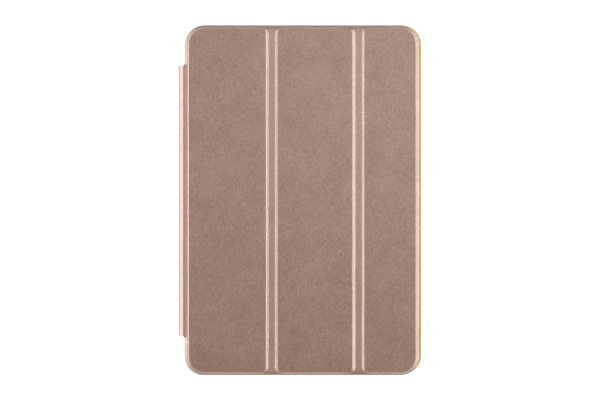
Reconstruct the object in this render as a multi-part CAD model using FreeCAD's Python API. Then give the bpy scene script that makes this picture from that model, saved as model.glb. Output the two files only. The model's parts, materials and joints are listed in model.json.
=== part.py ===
import FreeCAD, Part

# A small tablet computer that lives in a folding leather case.
#
# Frame: the tablet lies on its back. The origin is the centre of the case's rear face, +X points to
# the tablet's right edge, +Y to its top edge and +Z out of the screen. All sizes are millimetres.
# The case is a hard tray with a leather back, a spine strip down its left side and a front cover of
# three stiff panels, so the leather bends along four lines that all run along Y.

import math
import os

from FreeCAD import Vector

OUT = "parts"
X_AXIS, Y_AXIS, Z_AXIS = Vector(1, 0, 0), Vector(0, 1, 0), Vector(0, 0, 1)
EDGE_TOLERANCE = 1e-4

# Tablet outline
TABLET_W, TABLET_H = 134.4, 199.8
TABLET_R = 9.6
TABLET_T = 7.3
HALF_W, HALF_H = TABLET_W / 2, TABLET_H / 2

# Case layers, from the table up
LEATHER_T = 0.8
TRAY_FLOOR_T = 1.1
TRAY_LINING_T = 0.3
TABLET_Z = LEATHER_T + TRAY_FLOOR_T + TRAY_LINING_T
GLASS_TOP = TABLET_Z + TABLET_T
COVER_GAP = 0.2
LINING_T = 0.4
LINING_Z = GLASS_TOP + COVER_GAP
BOARD_Z = LINING_Z + LINING_T
BOARD_T = 1.1
BORDER_TOP = BOARD_Z + LEATHER_T
PAD_TOP = BOARD_Z + 2.0

# Tray
TRAY_W, TRAY_H = 137.7, 203.7
TRAY_R = 11.5
TRAY_WALL = 1.35
TRAY_TOP = GLASS_TOP + 0.1
TRAY_FOOT_R = 1.6
RIM_R = 0.5
TRAY_LINING_GAP = 0.1
BACK_LEATHER_GAP = 0.2

# Windows in the tray
WINDOW_H = 4.8
JACK_WINDOW_R, MIC_WINDOW_R = 3.6, 1.2
POWER_WINDOW_L, SIDE_WINDOW_L, CHARGE_WINDOW_L = 16.0, 43.0, 17.0
SPEAKER_WINDOW_H = 2.6

# Front cover outline, hung a little to the left of the tray and below its middle
COVER_LEFT, COVER_RIGHT = -69.0, 67.35
COVER_BOTTOM, COVER_TOP = -102.0, 101.2
COVER_R = 11.0
BORDER_W = 1.25
PAD_BEVEL = 1.1
PAD_FOLD_R = 2.0
FOLD_1_X, FOLD_2_X = -18.3, 32.25
FOLD_HALF = 1.9
PAD_FOLD_INSET = 0.1
BOARD_INSET = 1.2
BOARD_FOLD_R = 1.2
POCKET_GAP = 0.02
LATCH_X, LATCH_W, LATCH_L, LATCH_YS = 57.6, 4.0, 14.0, (-64.0, -40.0, 40.0, 64.0)
STEEL_X, STEEL_W, STEEL_L = -62.0, 6.0, 150.0
INSERT_GAP = 0.05

# Spine strip down the left side
SPINE_BOTTOM, SPINE_TOP = -79.2, 78.0
SPINE_OUT = -72.5
SPINE_BOARD_T = 1.2
SPINE_LOW = 1.9
SPINE_HIGH = 8.9
SPINE_BOARD_INSET = 0.4

# Rear housing
HOUSING_FLOOR = 0.8
HOUSING_WALL = 1.8
HOUSING_EDGE_R = 2.2
CAVITY_Z = TABLET_Z + HOUSING_FLOOR
GLASS_T = 0.7
GLASS_Z = GLASS_TOP - GLASS_T
MASK_T = 0.1
LEDGE_Z = GLASS_Z - MASK_T
LEDGE_INSET = 0.7
RIM_BELOW_GLASS = 0.2
GLASS_CLEARANCE = 0.05
GLASS_EDGE_R = 0.3

# Display
ACTIVE_W, ACTIVE_H = 120.6, 160.6
DISPLAY_W, DISPLAY_H = 126.0, 168.0
DISPLAY_TOP = LEDGE_Z - 0.1
BACKPLATE_R = 1.0
DISPLAY_T = 1.6
BACKPLATE_T = 0.3
BACKPLATE_Z = DISPLAY_TOP - DISPLAY_T - BACKPLATE_T

# Side controls, on the middle of the tablet's edge
PORT_Z = TABLET_Z + 3.4
BUTTON_H = 2.6
BUTTON_PROUD = 0.3
BUTTON_TRAVEL = 0.3
BUTTON_GAP = 0.2
FLANGE_T = 0.5
FLANGE_H = 3.8
FLANGE_OVERHANG = 0.7
WALL_CLEARANCE = 0.15
POWER_X, POWER_L = 40.0, 9.6
VOLUME_UP_Y, VOLUME_DOWN_Y, VOLUME_L = 66.0, 53.0, 11.0
MUTE_Y, MUTE_SLOT_L, MUTE_KNOB_L, MUTE_TRAVEL = 79.0, 6.0, 3.6, 2.0
MUTE_H = 2.2
MUTE_PLATE_L, MUTE_PLATE_H, MUTE_PROUD = 6.4, 3.4, 0.2
SWITCH_T, SWITCH_R, SWITCH_BOARD_T, SWITCH_BOARD_H = 0.65, 1.4, 0.6, 4.0
SWITCH_GAP = 0.05
POWER_SWITCH_L = 16.0

# Sockets and openings in the ends
JACK_X, JACK_BORE_R, JACK_NOSE_R, JACK_DEPTH = -54.0, 1.8, 2.4, 14.3
JACK_BODY = 4.9
CHARGE_W, CHARGE_H, CHARGE_DEPTH = 9.0, 3.0, 6.5
CHARGE_BODY_W, CHARGE_BODY_H, CHARGE_BACK_T = 11.6, 3.3, 1.0
TONGUE_W, TONGUE_L, TONGUE_T = 6.4, 4.5, 0.7
SOCKET_GAP = 0.05
SPEAKER_X, SPEAKER_W, SPEAKER_L = 31.0, 30.0, 12.6
SPEAKER_HOLES, SPEAKER_HOLE_R, SPEAKER_PITCH = 12, 0.55, 2.2
SPEAKER_Z, SPEAKER_T, SPEAKER_CORNER_R = CAVITY_Z + 0.1, 3.6, 1.0
CONE_R, CONE_DEPTH = 4.5, 0.5
MESH_T, MESH_H = 0.2, 2.0
MIC_X, MIC_HOLE_R = 10.0, 0.4
MIC_W, MIC_L, MIC_H = 3.2, 2.4, 2.2

# Cameras and front button
CAMERA_X, CAMERA_Y, CAMERA_R = 57.0, 88.5, 3.2
CAMERA_WINDOW_R = 4.6
CAMERA_BODY, CAMERA_BODY_T = 8.4, 4.0
LENS_R, LENS_T, TRIM_BORE_R, TRIM_T = 2.55, 0.5, 2.6, 0.75
FRONT_CAMERA_Y, FRONT_CAMERA_R, FRONT_CAMERA_BODY = 90.0, 1.6, 7.0
HOME_Y, HOME_L, HOME_H = -90.0, 14.0, 5.2
HOME_GAP = 0.2
HOME_TOP, HOME_T, HOME_EDGE_R = GLASS_TOP - 0.05, 1.3, 0.25
GASKET_W, GASKET_T = 1.5, 0.4
DOME_R, DOME_T, BRACKET_T, BRACKET_L, BRACKET_W = 2.0, 0.25, 0.25, 20.0, 8.0

# Battery and board
BATTERY_Z, BATTERY_T = CAVITY_Z + 0.05, 3.4
BATTERY_Y0, BATTERY_Y1, CELL_R, CELL_EDGE_R = -74.0, 68.0, 1.5, 0.6
CELL_SPANS = ((-63.0, -15.0), (-14.0, 34.0))
BOARD_X0, BOARD_X1, BOARD_Y0, BOARD_Y1 = 38.0, 62.4, -62.0, 69.0
LOGIC_Z, LOGIC_T = CAVITY_Z + 1.3, 0.6
SHIELD_T, SHIELD_WALL, SHIELD_R, CHIP_T = 1.4, 0.3, 1.0, 0.9
SHIELD_SPANS = ((42.0, 61.5, 36.0, 67.0), (42.0, 61.5, 4.0, 34.0), (42.0, 61.5, -60.0, -22.0))
CHIP_SPANS = ((44.0, 58.0, 44.0, 58.0), (44.0, 56.0, 10.0, 28.0), (45.0, 55.0, -50.0, -38.0))
SCREW_X, SCREW_YS = 39.9, (66.0, 2.0, -20.0, -58.0)
SCREW_R, SCREW_HEAD_R, SCREW_HEAD_T, BOSS_R = 0.6, 1.2, 0.5, 1.7
SCREW_GAP = 0.02
SLOT_L, SLOT_W, SLOT_DEPTH = 1.6, 0.24, 0.25
RIBBON_Z, RIBBON_T = BATTERY_Z + BATTERY_T + 0.05, 0.12
PLUG_X0, PLUG_X1 = 47.0, 54.0

# Magnets and sensor down the tablet's right side
EDGE_MAGNET_X, EDGE_MAGNET_W, EDGE_MAGNET_T, EDGE_MAGNET_YS = 63.2, 1.6, 3.3, (-64.0, -40.0, 30.0)
PART_LIFT = 0.3


def block(x0, x1, y0, y1, z0, z1):
    """A box from its lowest to its highest corner."""
    return Part.makeBox(x1 - x0, y1 - y0, z1 - z0, Vector(x0, y0, z0))


def rounded_plate(x0, x1, y0, y1, z0, z1, radii):
    """A plate with its own radius at each corner: bottom left, bottom right, top right, top left."""
    corners = [Vector(x0, y0, z0), Vector(x1, y0, z0), Vector(x1, y1, z0), Vector(x0, y1, z0)]
    ways = [X_AXIS, Y_AXIS, -X_AXIS, -Y_AXIS]
    starts, ends, bends = [], [], []
    for n, (corner, radius) in enumerate(zip(corners, radii)):
        way_in, way_out = ways[n - 1], ways[n]
        start, end = corner - way_in * radius, corner + way_out * radius
        centre = start + way_out * radius
        starts.append(start)
        ends.append(end)
        if radius:
            middle = centre + (corner - centre).normalize() * radius
            bends.append(Part.Arc(start, middle, end).toShape())
        else:
            bends.append(None)
    edges = []
    for n in range(4):
        if bends[n]:
            edges.append(bends[n])
        edges.append(Part.makeLine(ends[n], starts[(n + 1) % 4]))
    return Part.Face(Part.Wire(edges)).extrude(Z_AXIS * (z1 - z0))


def centred_plate(width, height, z0, z1, radius):
    """A rounded plate about the Z axis."""
    return rounded_plate(-width / 2, width / 2, -height / 2, height / 2, z0, z1, [radius] * 4)


def pill(length, height, depth, along, out, centre):
    """A slot-shaped solid: length runs along one axis, depth along out, and the ends are round."""
    flat, radius = length - height, height / 2
    up = out.cross(along)
    centres = [centre - along * (flat / 2), centre + along * (flat / 2)]
    corners = [
        centres[0] - up * radius,
        centres[1] - up * radius,
        centres[1] + up * radius,
        centres[0] + up * radius,
    ]
    edges = [
        Part.makeLine(corners[0], corners[1]),
        Part.Arc(corners[1], centres[1] + along * radius, corners[2]).toShape(),
        Part.makeLine(corners[2], corners[3]),
        Part.Arc(corners[3], centres[0] - along * radius, corners[0]).toShape(),
    ]
    return Part.Face(Part.Wire(edges)).extrude(out * depth)


def rod(radius, start, way, length):
    """A cylinder from a point, along a direction."""
    return Part.makeCylinder(radius, length, start, way)


def edges_at(shape, z):
    """The edges that lie flat at one height."""
    return [e for e in shape.Edges if all(abs(v.Z - z) < EDGE_TOLERANCE for v in e.Vertexes)]


def cut_all(shape, tools):
    for tool in tools:
        shape = shape.cut(tool)
    return shape


def quarter_strip(centre_x, centre_z, inner_r, outer_r, x_side, z_side):
    """A quarter ring that runs the length of the spine, on one side of its centre."""
    length = SPINE_TOP - SPINE_BOTTOM
    start = Vector(centre_x, SPINE_BOTTOM, centre_z)
    ring = rod(outer_r, start, Y_AXIS, length).cut(rod(inner_r, start, Y_AXIS, length))
    x0, x1 = sorted((centre_x, centre_x + x_side * outer_r))
    z0, z1 = sorted((centre_z, centre_z + z_side * outer_r))
    return ring.common(block(x0, x1, SPINE_BOTTOM, SPINE_TOP, z0, z1))


# The rear half of the case


def back_edge():
    """How far the leather back stops short of the tray's outline."""
    return TRAY_FOOT_R + BACK_LEATHER_GAP


def case_back_leather():
    inset = 2 * back_edge()
    skin = centred_plate(TRAY_W - inset, TRAY_H - inset, 0, LEATHER_T, TRAY_R - back_edge())
    return skin.cut(rod(CAMERA_WINDOW_R, Vector(CAMERA_X, CAMERA_Y, 0), Z_AXIS, LEATHER_T))


def tray_windows():
    """What is open in the tray: the camera, the jack, the keys, the charging port and the speakers."""
    wall = 3 * TRAY_WALL
    right, top, bottom = TRAY_W / 2 - 2 * TRAY_WALL, TRAY_H / 2 - 2 * TRAY_WALL, 2 * TRAY_WALL - TRAY_H / 2
    keys_y = (MUTE_Y + VOLUME_DOWN_Y) / 2
    return [
        rod(CAMERA_WINDOW_R, Vector(CAMERA_X, CAMERA_Y, 0), Z_AXIS, TABLET_Z),
        rod(JACK_WINDOW_R, Vector(JACK_X, top, PORT_Z), Y_AXIS, wall),
        rod(MIC_WINDOW_R, Vector(MIC_X, top, PORT_Z), Y_AXIS, wall),
        pill(POWER_WINDOW_L, WINDOW_H, wall, X_AXIS, Y_AXIS, Vector(POWER_X, top, PORT_Z)),
        pill(SIDE_WINDOW_L, WINDOW_H, wall, Y_AXIS, X_AXIS, Vector(right, keys_y, PORT_Z)),
        pill(CHARGE_WINDOW_L, WINDOW_H, wall, X_AXIS, -Y_AXIS, Vector(0, bottom, PORT_Z)),
        pill(SPEAKER_W, SPEAKER_WINDOW_H, wall, X_AXIS, -Y_AXIS, Vector(SPEAKER_X, bottom, PORT_Z)),
        pill(SPEAKER_W, SPEAKER_WINDOW_H, wall, X_AXIS, -Y_AXIS, Vector(-SPEAKER_X, bottom, PORT_Z)),
    ]


def case_tray():
    shell = centred_plate(TRAY_W, TRAY_H, LEATHER_T, TRAY_TOP, TRAY_R)
    shell = shell.makeFillet(TRAY_FOOT_R, edges_at(shell, LEATHER_T))
    floor_top = LEATHER_T + TRAY_FLOOR_T
    inside = centred_plate(
        TRAY_W - 2 * TRAY_WALL, TRAY_H - 2 * TRAY_WALL, floor_top, TRAY_TOP, TRAY_R - TRAY_WALL
    )
    shell = shell.cut(inside)
    shell = shell.makeFillet(RIM_R, edges_at(shell, TRAY_TOP))
    return cut_all(shell, tray_windows())


def case_tray_lining():
    floor_top = LEATHER_T + TRAY_FLOOR_T
    side = 2 * (TRAY_WALL + TRAY_LINING_GAP)
    sheet = centred_plate(TRAY_W - side, TRAY_H - side, floor_top, TABLET_Z, TRAY_R - TRAY_WALL)
    return sheet.cut(rod(CAMERA_WINDOW_R, Vector(CAMERA_X, CAMERA_Y, 0), Z_AXIS, TABLET_Z))


# The spine and its two bending strips


def spine_leather():
    return block(SPINE_OUT, SPINE_OUT + LEATHER_T, SPINE_BOTTOM, SPINE_TOP, SPINE_LOW, SPINE_HIGH)


def spine_board():
    x0 = SPINE_OUT + LEATHER_T
    return block(
        x0,
        x0 + SPINE_BOARD_T,
        SPINE_BOTTOM + SPINE_BOARD_INSET,
        SPINE_TOP - SPINE_BOARD_INSET,
        SPINE_LOW + SPINE_BOARD_INSET,
        SPINE_HIGH - SPINE_BOARD_INSET,
    )


def spine_lining():
    x0 = SPINE_OUT + LEATHER_T + SPINE_BOARD_T
    return block(x0, x0 + LINING_T, SPINE_BOTTOM, SPINE_TOP, SPINE_LOW, SPINE_HIGH)


def rear_hinge_strip():
    """The leather that bends between the tray's back and the spine."""
    bend_x, bend_r = SPINE_OUT + SPINE_LOW, SPINE_LOW
    bend = quarter_strip(bend_x, SPINE_LOW, bend_r - LEATHER_T, bend_r, -1, -1)
    back_x = -TRAY_W / 2 + back_edge()
    flat = block(bend_x, back_x, SPINE_BOTTOM, SPINE_TOP, 0, LEATHER_T)
    return bend.fuse(flat).removeSplitter()


def front_hinge_strip():
    """The leather that bends between the spine and the first panel."""
    bend_r = BORDER_TOP - SPINE_HIGH
    bend_x = SPINE_OUT + bend_r
    bend = quarter_strip(bend_x, SPINE_HIGH, bend_r - LEATHER_T, bend_r, -1, 1)
    flat = block(bend_x, COVER_LEFT, SPINE_BOTTOM, SPINE_TOP, BOARD_Z, BORDER_TOP)
    return bend.fuse(flat).removeSplitter()


# The front cover


def panel_span(number):
    """The left and right sides of a panel, and the radii at its outer corners."""
    lefts = (COVER_LEFT, FOLD_1_X + FOLD_HALF, FOLD_2_X + FOLD_HALF)
    rights = (FOLD_1_X - FOLD_HALF, FOLD_2_X - FOLD_HALF, COVER_RIGHT)
    left_r = COVER_R if number == 1 else 0
    right_r = COVER_R if number == 3 else 0
    return lefts[number - 1], rights[number - 1], left_r, right_r


def panel_plate(number, z0, z1, inset_out=0.0, inset_fold=0.0, fold_r=0.0):
    """A plate of a panel's outline, inset from the cover's edge and from the folds."""
    left, right, left_r, right_r = panel_span(number)
    left += inset_out if left_r else inset_fold
    right -= inset_out if right_r else inset_fold
    left_r = left_r - inset_out if left_r else fold_r
    right_r = right_r - inset_out if right_r else fold_r
    return rounded_plate(
        left,
        right,
        COVER_BOTTOM + inset_out,
        COVER_TOP - inset_out,
        z0,
        z1,
        [left_r, right_r, right_r, left_r],
    )


def board_plate(number, z0, z1, gap=0.0):
    """The stiff board inside a panel's pad; gap widens it to make its pocket."""
    return panel_plate(number, z0, z1, BORDER_W + BOARD_INSET - gap, BOARD_INSET - gap, BOARD_FOLD_R)


def panel_leather(number):
    border = panel_plate(number, BOARD_Z, BORDER_TOP)
    pad = panel_plate(number, BORDER_TOP, PAD_TOP, BORDER_W, PAD_FOLD_INSET, PAD_FOLD_R)
    pad = pad.makeChamfer(PAD_BEVEL, edges_at(pad, PAD_TOP))
    pocket = board_plate(number, BOARD_Z, BOARD_Z + BOARD_T + POCKET_GAP, POCKET_GAP)
    return border.fuse(pad).removeSplitter().cut(pocket)


def panel_lining(number):
    return panel_plate(number, LINING_Z, BOARD_Z)


def latch_magnet_boxes(gap=0.0):
    """The magnets in the last panel that hold the cover shut; gap widens them to make their pockets."""
    x0, x1 = LATCH_X - gap, LATCH_X + LATCH_W + gap
    half = LATCH_L / 2 + gap
    return [block(x0, x1, y - half, y + half, BOARD_Z, BOARD_Z + BOARD_T) for y in LATCH_YS]


def stand_plate_box(gap=0.0):
    """The steel strip in the first panel that the latch magnets grip when the cover is a stand."""
    half = STEEL_L / 2 + gap
    return block(STEEL_X - gap, STEEL_X + STEEL_W + gap, -half, half, BOARD_Z, BOARD_Z + BOARD_T)


def panel_board(number):
    board = board_plate(number, BOARD_Z, BOARD_Z + BOARD_T)
    if number == 1:
        return board.cut(stand_plate_box(INSERT_GAP))
    if number == 3:
        return cut_all(board, latch_magnet_boxes(INSERT_GAP))
    return board


def fold_strip(fold_x):
    """The leather and the lining that bend between two panels, pressed together with no board."""
    span = fold_x - FOLD_HALF, fold_x + FOLD_HALF, COVER_BOTTOM, COVER_TOP
    leather = block(*span, BOARD_Z, BORDER_TOP)
    lining = block(*span, LINING_Z, BOARD_Z)
    return Part.makeCompound([leather, lining])


# The tablet's outer parts


def button_tools():
    """The slots that the edge keys and the mute knob pass through."""
    out_x, out_y = HALF_W - HOUSING_WALL - 1, HALF_H - HOUSING_WALL - 1
    depth = HOUSING_WALL + 2
    slot_h = BUTTON_H + 2 * BUTTON_GAP
    tools = [
        pill(POWER_L + 2 * BUTTON_GAP, slot_h, depth, X_AXIS, Y_AXIS, Vector(POWER_X, out_y, PORT_Z)),
        pill(MUTE_SLOT_L, MUTE_H, depth, Y_AXIS, X_AXIS, Vector(out_x, MUTE_Y, PORT_Z)),
    ]
    for y in (VOLUME_UP_Y, VOLUME_DOWN_Y):
        tools.append(
            pill(VOLUME_L + 2 * BUTTON_GAP, slot_h, depth, Y_AXIS, X_AXIS, Vector(out_x, y, PORT_Z))
        )
    return tools


def speaker_hole_xs():
    first = SPEAKER_X - SPEAKER_PITCH * (SPEAKER_HOLES - 1) / 2
    return [side * (first + SPEAKER_PITCH * n) for side in (-1, 1) for n in range(SPEAKER_HOLES)]


def socket_tools():
    """The holes for the jack, the charging port, the speakers and the microphone."""
    depth = HOUSING_WALL + 2
    top, bottom = HALF_H - HOUSING_WALL - 1, 1 + HOUSING_WALL - HALF_H
    tools = [
        rod(JACK_NOSE_R + SOCKET_GAP, Vector(JACK_X, top, PORT_Z), Y_AXIS, depth),
        rod(MIC_HOLE_R, Vector(MIC_X, top, PORT_Z), Y_AXIS, depth),
        pill(CHARGE_W, CHARGE_H, depth, X_AXIS, -Y_AXIS, Vector(0, bottom, PORT_Z)),
    ]
    tools += [rod(SPEAKER_HOLE_R, Vector(x, bottom, PORT_Z), -Y_AXIS, depth) for x in speaker_hole_xs()]
    return tools


def housing_outline():
    """The tablet's outer form below its glass, with the rear edge rounded."""
    form = centred_plate(TABLET_W, TABLET_H, TABLET_Z, GLASS_TOP - RIM_BELOW_GLASS, TABLET_R)
    return form.makeFillet(HOUSING_EDGE_R, edges_at(form, TABLET_Z))


def rear_housing():
    rim_z = GLASS_TOP - RIM_BELOW_GLASS
    shell = housing_outline()
    pocket = centred_plate(
        TABLET_W - 2 * LEDGE_INSET, TABLET_H - 2 * LEDGE_INSET, LEDGE_Z, rim_z, TABLET_R - LEDGE_INSET
    )
    cavity = centred_plate(
        TABLET_W - 2 * HOUSING_WALL, TABLET_H - 2 * HOUSING_WALL, CAVITY_Z, LEDGE_Z, TABLET_R - HOUSING_WALL
    )
    shell = cut_all(shell, [pocket, cavity])
    for y in SCREW_YS:
        boss = rod(BOSS_R, Vector(SCREW_X, y, CAVITY_Z), Z_AXIS, LOGIC_Z - CAVITY_Z)
        shell = shell.fuse(boss)
    screws = [rod(SCREW_R, Vector(SCREW_X, y, CAVITY_Z), Z_AXIS, LOGIC_Z - CAVITY_Z) for y in SCREW_YS]
    camera = rod(CAMERA_R, Vector(CAMERA_X, CAMERA_Y, TABLET_Z), Z_AXIS, HOUSING_FLOOR)
    return cut_all(shell, screws + [camera] + button_tools() + socket_tools())


def home_opening(z0, z1):
    return pill(
        HOME_L + 2 * HOME_GAP, HOME_H + 2 * HOME_GAP, z1 - z0, X_AXIS, Z_AXIS, Vector(0, HOME_Y, z0)
    )


def glass_plate(z0, z1):
    inset = 2 * (LEDGE_INSET + GLASS_CLEARANCE)
    radius = TABLET_R - LEDGE_INSET - GLASS_CLEARANCE
    return centred_plate(TABLET_W - inset, TABLET_H - inset, z0, z1, radius)


def cover_glass():
    glass = glass_plate(GLASS_Z, GLASS_TOP)
    glass = glass.makeFillet(GLASS_EDGE_R, edges_at(glass, GLASS_TOP))
    return glass.cut(home_opening(GLASS_Z, GLASS_TOP))


def bezel_mask():
    """The coloured frame printed under the glass, round the picture."""
    mask = glass_plate(LEDGE_Z, GLASS_Z)
    picture = centred_plate(ACTIVE_W, ACTIVE_H, LEDGE_Z, GLASS_Z, 0)
    camera = rod(FRONT_CAMERA_R, Vector(0, FRONT_CAMERA_Y, LEDGE_Z), Z_AXIS, MASK_T)
    return cut_all(mask, [picture, camera, home_opening(LEDGE_Z, GLASS_Z)])


def display_panel():
    return centred_plate(DISPLAY_W, DISPLAY_H, DISPLAY_TOP - DISPLAY_T, DISPLAY_TOP, 0)


def display_backplate():
    return centred_plate(DISPLAY_W, DISPLAY_H, BACKPLATE_Z, BACKPLATE_Z + BACKPLATE_T, BACKPLATE_R)


# The keys, and the switches behind them


def key(length, centre, along, out):
    """An edge key: a cap that stands a little proud, and a flange that keeps it in the wall."""
    flange_back = HOUSING_WALL + WALL_CLEARANCE + FLANGE_T
    flange = pill(length + 2 * FLANGE_OVERHANG, FLANGE_H, FLANGE_T, along, out, centre - out * flange_back)
    neck_back = HOUSING_WALL + WALL_CLEARANCE
    cap = pill(length, BUTTON_H, neck_back + BUTTON_PROUD, along, out, centre - out * neck_back)
    return flange.fuse(cap)


def power_button():
    return key(POWER_L, Vector(POWER_X, HALF_H, PORT_Z), X_AXIS, Y_AXIS)


def volume_button(y):
    return key(VOLUME_L, Vector(HALF_W, y, PORT_Z), Y_AXIS, X_AXIS)


def mute_slider():
    """A knob that slides down its slot, on a plate inside the wall."""
    knob_y = MUTE_Y + MUTE_TRAVEL / 2
    edge = Vector(HALF_W, knob_y, PORT_Z)
    plate_back = HOUSING_WALL + WALL_CLEARANCE + FLANGE_T
    plate = pill(MUTE_PLATE_L, MUTE_PLATE_H, FLANGE_T, Y_AXIS, X_AXIS, edge - X_AXIS * plate_back)
    neck_back = HOUSING_WALL + WALL_CLEARANCE
    knob_h = MUTE_H - 2 * BUTTON_GAP
    knob = pill(MUTE_KNOB_L, knob_h, neck_back + MUTE_PROUD, Y_AXIS, X_AXIS, edge - X_AXIS * neck_back)
    return plate.fuse(knob)


def switch_stop():
    """How far inside the outer face a switch's tip lies, so that a key reaches it at full travel."""
    return HOUSING_WALL + WALL_CLEARANCE + FLANGE_T + BUTTON_TRAVEL + SWITCH_GAP


def power_switch():
    back = HALF_H - switch_stop() - SWITCH_T
    half_l, half_h = POWER_SWITCH_L / 2, SWITCH_BOARD_H / 2
    dome = rod(SWITCH_R, Vector(POWER_X, back, PORT_Z), Y_AXIS, SWITCH_T)
    strip = block(
        POWER_X - half_l, POWER_X + half_l, back - SWITCH_BOARD_T, back, PORT_Z - half_h, PORT_Z + half_h
    )
    return dome.fuse(strip)


def volume_switch_board():
    back = HALF_W - switch_stop() - SWITCH_T
    y0, y1 = VOLUME_DOWN_Y - 6, MUTE_Y + 4
    half_h = SWITCH_BOARD_H / 2
    strip = block(back - SWITCH_BOARD_T, back, y0, y1, PORT_Z - half_h, PORT_Z + half_h)
    for y in (VOLUME_UP_Y, VOLUME_DOWN_Y):
        strip = strip.fuse(rod(SWITCH_R, Vector(back, y, PORT_Z), X_AXIS, SWITCH_T))
    return strip


def home_button():
    cap = pill(HOME_L, HOME_H, HOME_T, X_AXIS, Z_AXIS, Vector(0, HOME_Y, HOME_TOP - HOME_T))
    return cap.makeFillet(HOME_EDGE_R, edges_at(cap, HOME_TOP))


def home_button_gasket():
    """The soft ring that seals the gap round the front button, under the printed frame."""
    z0 = LEDGE_Z - SOCKET_GAP - GASKET_T
    length, height = HOME_L + 2 * GASKET_W, HOME_H + 2 * GASKET_W
    outer = pill(length, height, GASKET_T, X_AXIS, Z_AXIS, Vector(0, HOME_Y, z0))
    return outer.cut(home_opening(z0, z0 + GASKET_T))


def home_switch():
    """The dome switch under the front button, on its bracket."""
    base = HOME_TOP - HOME_T - BUTTON_TRAVEL - SWITCH_GAP - DOME_T
    half_l, half_w = BRACKET_L / 2, BRACKET_W / 2
    bracket = block(-half_l, half_l, HOME_Y - half_w, HOME_Y + half_w, base - BRACKET_T, base)
    return bracket.fuse(rod(DOME_R, Vector(0, HOME_Y, base), Z_AXIS, DOME_T))


# What is inside the tablet


def battery_cell(x0, x1):
    top = BATTERY_Z + BATTERY_T
    cell = rounded_plate(x0, x1, BATTERY_Y0, BATTERY_Y1, BATTERY_Z, top, [CELL_R] * 4)
    return cell.makeFillet(CELL_EDGE_R, edges_at(cell, top))


def battery_board():
    return block(-40.0, 34.0, 68.4, 74.0, CAVITY_Z + PART_LIFT, CAVITY_Z + 1.5)


def battery_connector():
    return block(34.2, 46.0, 69.4, 75.0, CAVITY_Z + PART_LIFT, CAVITY_Z + 2.3)


def logic_board():
    board = block(BOARD_X0, BOARD_X1, BOARD_Y0, BOARD_Y1, LOGIC_Z, LOGIC_Z + LOGIC_T)
    return cut_all(board, [rod(SCREW_R, Vector(SCREW_X, y, LOGIC_Z), Z_AXIS, LOGIC_T) for y in SCREW_YS])


def board_shields():
    """The pressed cans over the processor, the memory and the radio."""
    z0, wall = LOGIC_Z + LOGIC_T, SHIELD_WALL
    cans = []
    for x0, x1, y0, y1 in SHIELD_SPANS:
        can = rounded_plate(x0, x1, y0, y1, z0, z0 + SHIELD_T, [SHIELD_R] * 4)
        hollow = block(x0 + wall, x1 - wall, y0 + wall, y1 - wall, z0, z0 + SHIELD_T - wall)
        cans.append(can.cut(hollow))
    return Part.makeCompound(cans)


def board_chips():
    """The processor, memory and radio packages under the cans."""
    z0 = LOGIC_Z + LOGIC_T
    return Part.makeCompound([block(*span, z0, z0 + CHIP_T) for span in CHIP_SPANS])


def board_screws():
    head_z = LOGIC_Z + LOGIC_T
    screws = []
    for y in SCREW_YS:
        shaft_z = CAVITY_Z + 0.2
        shaft = rod(SCREW_R - SCREW_GAP, Vector(SCREW_X, y, shaft_z), Z_AXIS, head_z - shaft_z)
        head = rod(SCREW_HEAD_R, Vector(SCREW_X, y, head_z), Z_AXIS, SCREW_HEAD_T)
        half_l, half_w, head_top = SLOT_L / 2, SLOT_W / 2, head_z + SCREW_HEAD_T
        slot = block(
            SCREW_X - half_l, SCREW_X + half_l, y - half_w, y + half_w, head_top - SLOT_DEPTH, head_top
        )
        screws.append(shaft.fuse(head).cut(slot))
    return Part.makeCompound(screws)


def ribbon_cable(x0, y0, y1):
    """A flat cable over the battery, plugged down onto the logic board."""
    ribbon = block(x0, PLUG_X1, y0, y1, RIBBON_Z, RIBBON_Z + RIBBON_T)
    plug = block(PLUG_X0, PLUG_X1, y0, y1, LOGIC_Z + LOGIC_T, RIBBON_Z)
    return ribbon.fuse(plug).removeSplitter()


def charging_port():
    """A socket with a slot-shaped mouth, open at the tablet's bottom edge, and its contact tongue."""
    face_y = HOUSING_WALL + SOCKET_GAP - HALF_H
    mouth_back = face_y + CHARGE_DEPTH
    half_w, half_h = CHARGE_BODY_W / 2, CHARGE_BODY_H / 2
    body = block(-half_w, half_w, face_y, mouth_back + CHARGE_BACK_T, PORT_Z - half_h, PORT_Z + half_h)
    mouth = pill(CHARGE_W - 0.6, CHARGE_H - 0.4, CHARGE_DEPTH, X_AXIS, Y_AXIS, Vector(0, face_y, PORT_Z))
    half_w, half_t = TONGUE_W / 2, TONGUE_T / 2
    tongue = block(-half_w, half_w, mouth_back - TONGUE_L, mouth_back, PORT_Z - half_t, PORT_Z + half_t)
    return body.cut(mouth).fuse(tongue)


def headphone_jack():
    """A round socket whose nose passes through the tablet's top edge."""
    mouth_y = HALF_H - SOCKET_GAP
    nose_l = HOUSING_WALL + SOCKET_GAP
    back_y = mouth_y - JACK_DEPTH - 1.0
    half = JACK_BODY / 2
    body = block(
        JACK_X - half - 0.8, JACK_X + half + 0.8, back_y, mouth_y - nose_l, PORT_Z - half, PORT_Z + half
    )
    nose = rod(JACK_NOSE_R, Vector(JACK_X, mouth_y - nose_l, PORT_Z), Y_AXIS, nose_l)
    nose = nose.common(housing_outline())
    bore = rod(JACK_BORE_R, Vector(JACK_X, mouth_y - JACK_DEPTH, PORT_Z), Y_AXIS, JACK_DEPTH)
    return body.fuse(nose).cut(bore)


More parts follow.
